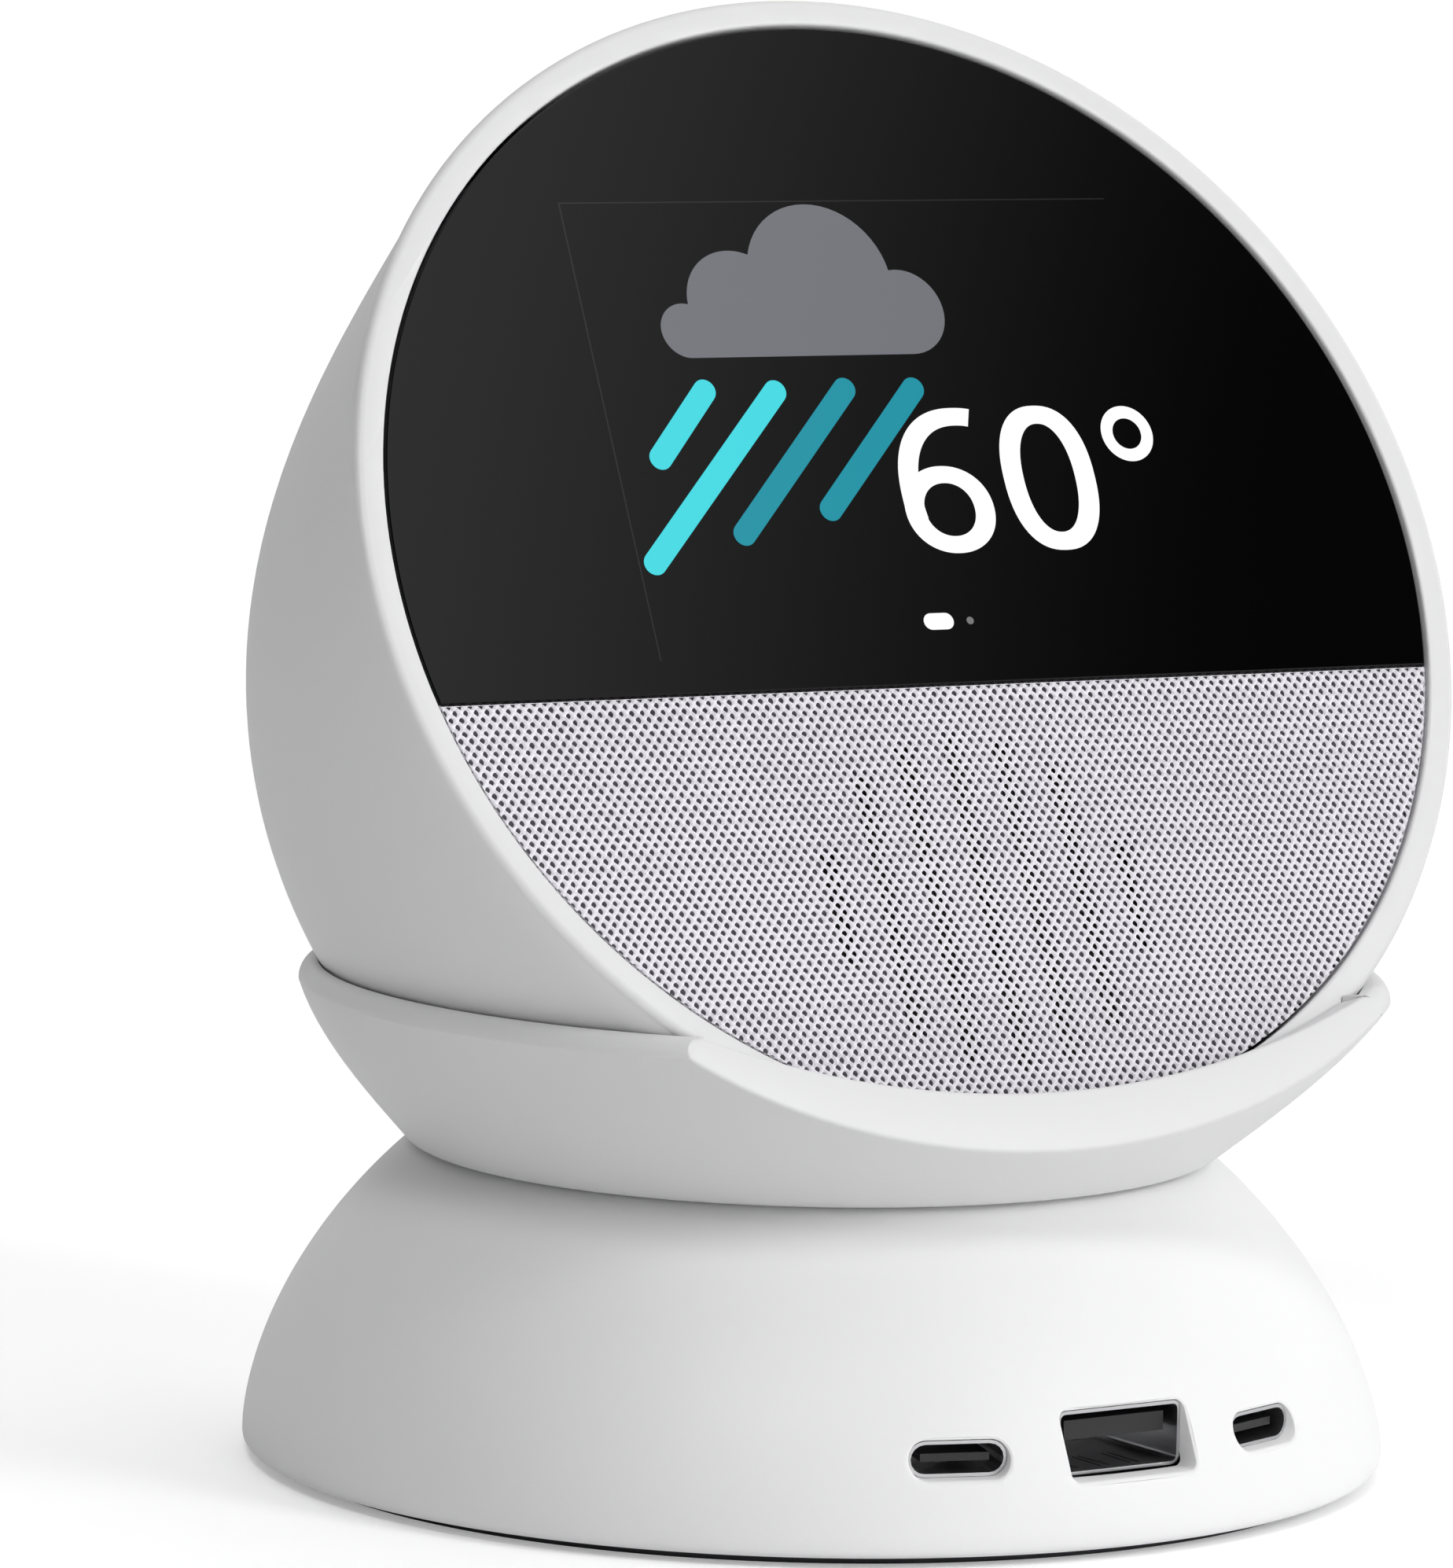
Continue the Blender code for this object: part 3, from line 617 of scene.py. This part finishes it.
def build_picture():
    """A rain cloud, the number 60 with a degree ring, and two page marks."""
    height = GLASS_FRONT + 0.03
    thin = 0.02
    white = lit("picture_white", (1.0, 1.0, 1.0), 1.0)
    grey = lit("picture_grey", (0.162, 0.166, 0.185), 1.0)
    cyan = lit("picture_cyan", (0.045, 0.69, 0.76), 1.0)
    teal = lit("picture_teal", (0.0, 0.28, 0.365), 1.0)
    dim = lit("picture_dim", (0.18, 0.18, 0.18), 1.0)
    edge_glow = lit("screen_edge_glow", (0.004, 0.004, 0.0045), 1.0)
    drops = {
        "rain_1": ((-17.95, 16.8), (-23.9, 10.5), cyan),
        "rain_2": ((-10.8, 16.6), (-26.8, 0.6), cyan),
        "rain_3": ((-3.65, 16.7), (-17.2, 3.1), teal),
        "rain_4": ((3.45, 16.6), (-7.9, 5.2), teal),
    }
    pieces = [flat_piece("cloud", [cloud_outline()], height, thin, grey)]
    for name, (start, finish, glow) in drops.items():
        middle = ((start[0] + finish[0]) / 2, (start[1] + finish[1]) / 2)
        pieces.append(flat_piece(name, [stroke([start, middle, finish], RAIN_WIDTH)], height, thin, glow))
    zero = oval_ring((15.5, 7.68), (4.8, 7.02), (2.72, 5.27), (2.35, 2.2))
    six_bowl = oval_ring((4.35, 4.87), (4.62, 4.2), (2.6, 2.56), (2.1, 2.1))
    six_stem = oval_ring((6.9, 6.2), (7.17, 8.45), (5.15, 6.75), (2.3, 2.3), 78, 195, 40)
    degree = oval_ring((24.8, 11.77), (2.71, 2.71), (1.5, 1.5), steps=48)
    mark = stroke([(-0.27, -5.75), (0.48, -5.75), (1.23, -5.75)], 1.57)
    dot = arc_points((3.73, -5.78), 0.36, 0.36, 0, 345, 23)
    pieces += [
        flat_piece("digit_0", zero, height, thin, white),
        flat_piece("digit_6_bowl", six_bowl, height, thin, white),
        flat_piece("digit_6_stem", six_stem, height + 0.01, thin, white),
        flat_piece("degree_ring", degree, height, thin, white),
        flat_piece("page_mark", [mark], height, thin, white),
        flat_piece("page_dot", [dot], height, thin, dim),
    ]
    left = -SCREEN_WIDTH / 2
    right = SCREEN_WIDTH / 2
    turn = left + EDGE_LINE
    edges = [
        [(left, SCREEN_LOW), (turn, SCREEN_LOW), (turn, SCREEN_HIGH), (left, SCREEN_HIGH)],
        [(turn, SCREEN_HIGH - EDGE_LINE), (right, SCREEN_HIGH - EDGE_LINE), (right, SCREEN_HIGH),
         (turn, SCREEN_HIGH)],
    ]
    pieces.append(flat_piece("screen_edge", edges, GLASS_FRONT + 0.01, 0.006, edge_glow))
    for piece in pieces:
        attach(piece, "display")


# ---------------------------------------------------------------- cradle

def bowl_share(height):
    """How far up the bowl's wall a height lies, from 0 at the seam to 1 where the rim's round starts."""
    return min((height - SEAM) / (RIM_START - SEAM), 1.0)


def bowl_centre_y(height):
    return BOWL_SEAM_Y + (BOWL_RIM_Y - BOWL_SEAM_Y) * bowl_share(height)


def bowl_radius(height):
    swell = math.sin(BOWL_CURVE * bowl_share(height))
    return BOWL_SEAM_RADIUS + (BOWL_RIM_RADIUS - BOWL_SEAM_RADIUS) * swell / math.sin(BOWL_CURVE)


def around_bowl(angle, reach, height):
    """The point a reach out from the bowl's middle, at an angle and a height."""
    return Vector((reach * math.cos(angle), bowl_centre_y(height) + reach * math.sin(angle), height))


def bowl_point(angle, height, shrink=0.0):
    return around_bowl(angle, bowl_radius(height) - shrink, height)


def out_of_face(point):
    return (FACE_INVERSE @ point).z


def inside_display(point):
    """True where the display, with its clearance, takes up the cradle's inside."""
    local = FACE_INVERSE @ point
    if local.z > GAP:
        return False
    radius, middle = body_circle(-local.z, CRADLE_CLEARANCE)
    return math.hypot(local.x, local.y - middle) < radius


def solve(test, low, high):
    """The value where test changes from true at low to false at high."""
    for _ in range(24):
        middle = (low + high) / 2
        if test(middle):
            low = middle
        else:
            high = middle
    return (low + high) / 2


def lip_arc(across):
    return LIP_LOW + LIP_ARC_RADIUS - math.sqrt(LIP_ARC_RADIUS ** 2 - across ** 2)


def plane_point(angle, height):
    """Where the lip's flat front is met, going out from the bowl's middle at an angle and a height."""
    def behind_front(reach):
        return out_of_face(around_bowl(angle, reach, height)) < LIP_FRONT

    return around_bowl(angle, solve(behind_front, 0.0, 90.0), height)


def bezier(start, middle, finish, steps):
    return [start * (1 - t) ** 2 + middle * 2 * t * (1 - t) + finish * t * t
            for t in (step / steps for step in range(steps + 1))]


def lip_crest(angle):
    """The flat front lip: where the bowl's wall ends, the lip's two rounded edges, and its inner top."""
    def behind_front(height):
        return out_of_face(bowl_point(angle, height)) < LIP_FRONT

    def under_arc(height):
        local = FACE_INVERSE @ plane_point(angle, height)
        return local.y < lip_arc(local.x)

    edge = solve(behind_front, SEAM, RIM_START)
    low = bowl_point(angle, edge)
    high = plane_point(angle, solve(under_arc, edge, RIM_TOP))
    up = (high - low).normalized()
    down = (bowl_point(angle, edge - 1.0) - low).normalized()
    back = FACE_FRAME.to_3x3() @ Vector((0, 0, -1))
    crest = bezier(low + down * LIP_ROUND, low, low + up * LIP_ROUND, 4)
    crest += bezier(high - up * LIP_ROUND, high, high + back * LIP_ROUND, 5)
    return edge - LIP_ROUND, crest, (high + back * LIP_THICKNESS * 0.98).z


def rim_crest(angle):
    """The rounded rim: where the bowl's wall ends, the round, and its inner top."""
    crest = []
    for step in range(11):
        turn = math.pi / 2 * step / 10
        point = bowl_point(angle, RIM_START + RIM_ROUND * math.sin(turn), RIM_ROUND * (1 - math.cos(turn)))
        over = out_of_face(point) - LIP_FRONT
        if over > 0:
            point = point - (FACE_FRAME.to_3x3() @ Vector((0, 0, over)))
        crest.append(point)
    return RIM_START, crest, RIM_TOP - 0.15


def cradle_profile(angle):
    """One upright slice of the cradle: outside wall, rim or lip, inside wall, floor."""
    has_lip = out_of_face(bowl_point(angle, RIM_START)) > LIP_FRONT
    outer_top, crest, inner_top = lip_crest(angle) if has_lip else rim_crest(angle)
    outside = [bowl_point(angle, SEAM, SEAM_EDGE)]
    outside += [bowl_point(angle, SEAM + SEAM_EDGE + (outer_top - SEAM - SEAM_EDGE) * step / 12)
                for step in range(12)]
    pocket_top = BODY_BOTTOM - CRADLE_CLEARANCE
    inside = []
    for step in range(8):
        height = inner_top + (pocket_top - inner_top) * step / 7
        widest = bowl_radius(height)
        reach = solve(lambda out: inside_display(around_bowl(angle, out, height)), 0.0, widest + 3.0)
        inside.append(around_bowl(angle, min(reach, widest - CRADLE_THINNEST), height))
    floor = []
    for radius, height in ((POCKET_RADIUS, pocket_top), (POCKET_RADIUS, FLOOR_TOP),
                           (CRADLE_BORE, FLOOR_TOP), (CRADLE_BORE, SEAM)):
        floor.append(Vector((radius * math.cos(angle), AXIS_Y + radius * math.sin(angle), height)))
    return outside + crest + inside + floor


def cradle_angles():
    """Angles all round, closer at the two corners where the lip meets the rim."""
    right = solve(lambda angle: out_of_face(bowl_point(angle, RIM_START)) > LIP_FRONT, -math.pi / 2, 0.0)
    angles = [-math.pi / 2 + 2 * math.pi * step / SHELL_STEPS for step in range(SHELL_STEPS)]
    for offset in [step * 0.002 for step in range(-8, 9)] + [-0.0002, 0.0002]:
        for angle in (right + offset, -math.pi - right + offset):
            turned = angle % (2 * math.pi)
            angles.append(turned - 2 * math.pi if turned > 1.5 * math.pi else turned)
    return sorted(angles)


def build_cradle():
    columns = [cradle_profile(angle) for angle in cradle_angles()]
    rings = [[column[row] for column in columns] for row in range(len(columns[0]))]
    cradle = loft("cradle_skin", rings, WHITE, closed=True, sharp=32.0)
    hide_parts("cradle_bowl")
    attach(cradle, "cradle")


# ---------------------------------------------------------------- base

def dome_rise(height):
    return max(height - BASE_BOTTOM, SKIRT_RISE)


def dome_radius(height):
    return BASE_RADIUS * math.sqrt(1.0 - (dome_rise(height) / DOME_HEIGHT) ** DOME_POWER)


def dome_ring(height, shrink=0.0):
    centre = (0.0, DOME_LEAN * dome_rise(height))
    return circle(LEVEL, dome_radius(height) - shrink, height, centre, SHELL_STEPS)


def rounded_rectangle(width, height, radius, steps=8):
    points = []
    for turn in range(4):
        middle_x = (width / 2 - radius) * (1 if turn in (0, 3) else -1)
        middle_y = (height / 2 - radius) * (1 if turn in (0, 1) else -1)
        for step in range(steps + 1):
            angle = math.pi / 2 * (turn + step / steps)
            points.append((middle_x + radius * math.cos(angle), middle_y + radius * math.sin(angle)))
    return points


def port_place(turn, height):
    facing = BASE_FRAME @ Matrix.Rotation(turn, 4, "Z")
    return facing @ Matrix.Translation((0.0, 0.0, height)) @ Matrix.Rotation(math.pi / 2, 4, "X")


def wall_reach(place, x, y):
    """How far out along a socket's axis the dome's outside lies."""
    def within(z):
        point = place @ Vector((x, y, z))
        middle = DOME_LEAN * (point.z - BASE_BOTTOM)
        return math.hypot(point.x, point.y - middle) < dome_radius(point.z)
    return solve(within, 0.0, 80.0)


def port_cutter(name, inside, turn, height, rounding=None):
    """A socket opening whose mouth flares by the same bevel wherever the curved wall meets it.

    Where no rounding is given, its two ends are fully round.
    """
    width, tall = (side + 2 * (USB_WALL + 0.05) for side in inside)
    radius = rounding or tall * 0.499
    place = port_place(turn, height)
    levels = [(0.3, 6.0), (0.3, 0.02), (0.2, -0.04), (0.07, -0.12), (0.0, -0.3), (0.0, -9.0)]
    rings = []
    for grow, ahead in levels:
        outline = rounded_rectangle(width + 2 * grow, tall + 2 * grow, radius + grow)
        rings.append([place @ Vector((x, y, wall_reach(place, x, y) + ahead)) for x, y in outline])
    return loft(name, rings)


def build_base():
    """The domed shell, with a ring-shaped recess for the washer, the spindle's bore and three sockets."""
    rings = []
    for turn in (math.pi / 2, 1.2, 0.8, 0.4, 0.0):
        height = SKIRT_BOTTOM + SKIRT_EDGE - SKIRT_EDGE * math.sin(turn)
        rings.append(dome_ring(height, SKIRT_EDGE - SKIRT_EDGE * math.cos(turn)))
    spans = 40
    rise = BASE_TOP - TOP_EDGE - BASE_BOTTOM - SKIRT_EDGE
    rings += [dome_ring(BASE_BOTTOM + SKIRT_EDGE + step * rise / spans) for step in range(spans + 1)]
    rings += [dome_ring(BASE_TOP - 0.25, 0.1), dome_ring(BASE_TOP, TOP_EDGE)]
    recess = BASE_TOP - RECESS_DEPTH
    inner_top = BASE_TOP - BASE_WALL
    for radius, height in ((RECESS_OUTER, BASE_TOP), (RECESS_OUTER, recess), (RECESS_INNER, recess),
                           (RECESS_INNER, BASE_TOP), (BASE_BORE, BASE_TOP), (BASE_BORE, inner_top)):
        rings.append(circle(AXIS_FRAME, radius, height, count=SHELL_STEPS))
    rings += [dome_ring(inner_top - step * (inner_top - SKIRT_BOTTOM) / 12, BASE_WALL)
              for step in range(13)]
    # The base takes the copy of the white painted lighter than the shell's, as painted light
    base = loft("base_skin", rings, BASE_WHITE_PAINTED_LIGHTER, closed=True)
    cut(base, [
        port_cutter("usb_a_mouth", USB_A_INSIDE, 0.0, USB_A_HEIGHT, USB_A_ROUND),
        port_cutter("usb_c_left_mouth", USB_C_INSIDE, -PORT_ANGLE, USB_C_HEIGHT),
        port_cutter("usb_c_right_mouth", USB_C_INSIDE, PORT_ANGLE, USB_C_HEIGHT),
    ])
    smooth(base, 30.0)
    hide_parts("base_shell")
    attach(base, "base")


def build_socket_springs():
    """The slots round the contact springs in the lower wall of the USB-A socket."""
    place = port_place(0.0, USB_A_HEIGHT)
    floor_height = -USB_A_INSIDE[1] / 2
    points = []
    faces = []
    for across in SPRING_PLACES:
        for side in (-SPRING_HALF_WIDTH, SPRING_HALF_WIDTH):
            front = across + side
            back = across + side * 0.7
            outline = [(front - 0.09, SPRING_FRONT), (front + 0.09, SPRING_FRONT),
                       (back + 0.05, SPRING_BACK), (back - 0.05, SPRING_BACK)]
            first = len(points)
            for lift in (0.01, 0.03):
                points += [place @ Vector((x, floor_height + lift, z)) for x, z in outline]
            faces.append((first, first + 1, first + 2, first + 3))
            faces.append((first + 7, first + 6, first + 5, first + 4))
            for here in range(4):
                after = (here + 1) % 4
                faces.append((first + here, first + after, first + 4 + after, first + 4 + here))
    slots = make("usb_a_spring_slots", points, faces, BLACK)
    slots.data.shade_flat()
    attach(slots, "base")


def build_foot():
    radius = BASE_RADIUS - BASE_WALL - GAP
    top = BASE_BOTTOM - GAP
    profile = [(radius - 0.6, 0.0), (radius - 0.2, 0.15), (radius, 0.45), (radius, top)]
    foot = lathe("foot_skin", profile, LEVEL, RUBBER, count=256, sharp=40.0)
    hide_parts("base_foot")
    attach(foot, "base")


# ---------------------------------------------------------------- studio

def times(tree, first, second):
    """The product of two node outputs."""
    product = tree.nodes.new("ShaderNodeMath")
    product.operation = "MULTIPLY"
    link(tree, first, product.inputs[0])
    link(tree, second, product.inputs[1])
    return product.outputs["Value"]


def build_floor():
    """A wide pale floor, with a glow that is seen directly only and grows away from the middle."""
    corners = ((-1, -1), (1, -1), (1, 1), (-1, 1))
    rings = [[Vector((x * FLOOR_REACH, y * FLOOR_REACH, height)) for x, y in corners]
             for height in (-2.0, 0.0)]
    paint = surface("floor_paint", (0.93, 0.93, 0.93), 0.9, grain=40.0, mottle=0.01)
    tree = paint.node_tree
    shader = tree.nodes["Principled BSDF"]
    shader.inputs["Emission Color"].default_value = (1.0, 1.0, 1.0, 1.0)
    apart = tree.nodes.new("ShaderNodeVectorMath")
    apart.operation = "LENGTH"
    link(tree, tree.nodes["Texture Coordinate"].outputs["Object"], apart.inputs[0])
    glow = tree.nodes.new("ShaderNodeMapRange")
    glow.inputs["From Min"].default_value = 0.3
    glow.inputs["From Max"].default_value = 1.6
    glow.inputs["To Min"].default_value = 0.29
    glow.inputs["To Max"].default_value = 0.52
    link(tree, apart.outputs["Value"], glow.inputs["Value"])
    seen_directly = tree.nodes.new("ShaderNodeLightPath").outputs["Is Camera Ray"]
    shown = times(tree, glow.outputs["Result"], seen_directly)
    link(tree, shown, shader.inputs["Emission Strength"])
    floor = loft("studio_floor", rings, paint)
    floor.data.shade_flat()


def area_light(name, place, power):
    """A square soft light turned towards the display."""
    data = bpy.data.lights.new(name, "AREA")
    data.shape = "RECTANGLE"
    data.size = LIGHT_SIZE
    data.size_y = LIGHT_SIZE
    data.energy = power
    lamp = bpy.data.objects.new(name, data)
    lamp.location = place
    lamp.rotation_euler = (Vector(LIGHT_TARGET) - Vector(place)).to_track_quat("-Z", "Y").to_euler()
    bpy.context.collection.objects.link(lamp)


def world_share(tree, aim):
    """How far each direction of the surround leans towards an aim, from -1 to 1."""
    place = tree.nodes.new("ShaderNodeTexCoord")
    share = tree.nodes.new("ShaderNodeVectorMath")
    share.operation = "DOT_PRODUCT"
    share.inputs[1].default_value = Vector(aim).normalized()
    link(tree, place.outputs["Generated"], share.inputs[0])
    return share.outputs["Value"]


def dim_around(tree, aim, outer, inner):
    """A factor that falls from 1 to 0 between two angles, in degrees, from an aim."""
    fade = tree.nodes.new("ShaderNodeMapRange")
    fade.interpolation_type = "SMOOTHSTEP"
    fade.inputs["From Min"].default_value = math.cos(math.radians(outer))
    fade.inputs["From Max"].default_value = math.cos(math.radians(inner))
    fade.inputs["To Min"].default_value = 1.0
    fade.inputs["To Max"].default_value = 0.0
    link(tree, world_share(tree, aim), fade.inputs["Value"])
    return fade.outputs["Result"]


def build_world():
    """A soft white surround, brighter above and to the right, with a shaded left side and a dim patch."""
    world = bpy.data.worlds.new("studio")
    bpy.context.scene.world = world
    world.use_nodes = True
    tree = world.node_tree
    slope = tree.nodes.new("ShaderNodeMath")
    slope.operation = "MULTIPLY_ADD"
    slope.inputs[1].default_value = WORLD_SLOPE
    slope.inputs[2].default_value = WORLD_LEVEL
    link(tree, world_share(tree, WORLD_BRIGHT_SIDE), slope.inputs[0])
    patch = dim_around(tree, DIM_PATCH, DIM_PATCH_OUTER, DIM_PATCH_INNER)
    side = dim_around(tree, SHADE_SIDE, SHADE_SIDE_OUTER, SHADE_SIDE_INNER)
    strength = times(tree, slope.outputs["Value"], times(tree, patch, side))
    background = tree.nodes["Background"]
    background.inputs["Color"].default_value = (1.0, 1.0, 1.0, 1.0)
    link(tree, strength, background.inputs["Strength"])


def build_camera():
    """A viewpoint to the front left, a little above, with a long lens."""
    data = bpy.data.cameras.new("camera")
    data.sensor_width = 36.0
    data.lens = CAMERA_LENS
    data.shift_x, data.shift_y = CAMERA_SHIFT
    data.clip_end = 50.0
    camera = bpy.data.objects.new("camera", data)
    forward = Vector((math.sin(CAMERA_YAW) * math.cos(CAMERA_PITCH),
                      math.cos(CAMERA_YAW) * math.cos(CAMERA_PITCH), math.sin(CAMERA_PITCH)))
    right = forward.cross(Vector((0, 0, 1))).normalized()
    up = right.cross(forward)
    rolled_right = right * math.cos(CAMERA_ROLL) + up * math.sin(CAMERA_ROLL)
    rolled_up = up * math.cos(CAMERA_ROLL) - right * math.sin(CAMERA_ROLL)
    columns = (rolled_right, rolled_up, -forward, Vector(CAMERA_PLACE))
    rows = [tuple(column[axis] for column in columns) for axis in range(3)]
    camera.matrix_world = Matrix((*rows, (0.0, 0.0, 0.0, 1.0)))
    bpy.context.collection.objects.link(camera)
    bpy.context.scene.camera = camera


def build_studio():
    build_floor()
    build_world()
    for name, (place, power) in LIGHTS.items():
        area_light(name, place, power)
    build_camera()
    bpy.context.scene.view_settings.view_transform = "Standard"


dress_cad_nodes()
build_housing()
build_buttons()
build_glass()
build_cloth()
build_picture()
build_cradle()
build_base()
build_socket_springs()
build_foot()
build_studio()
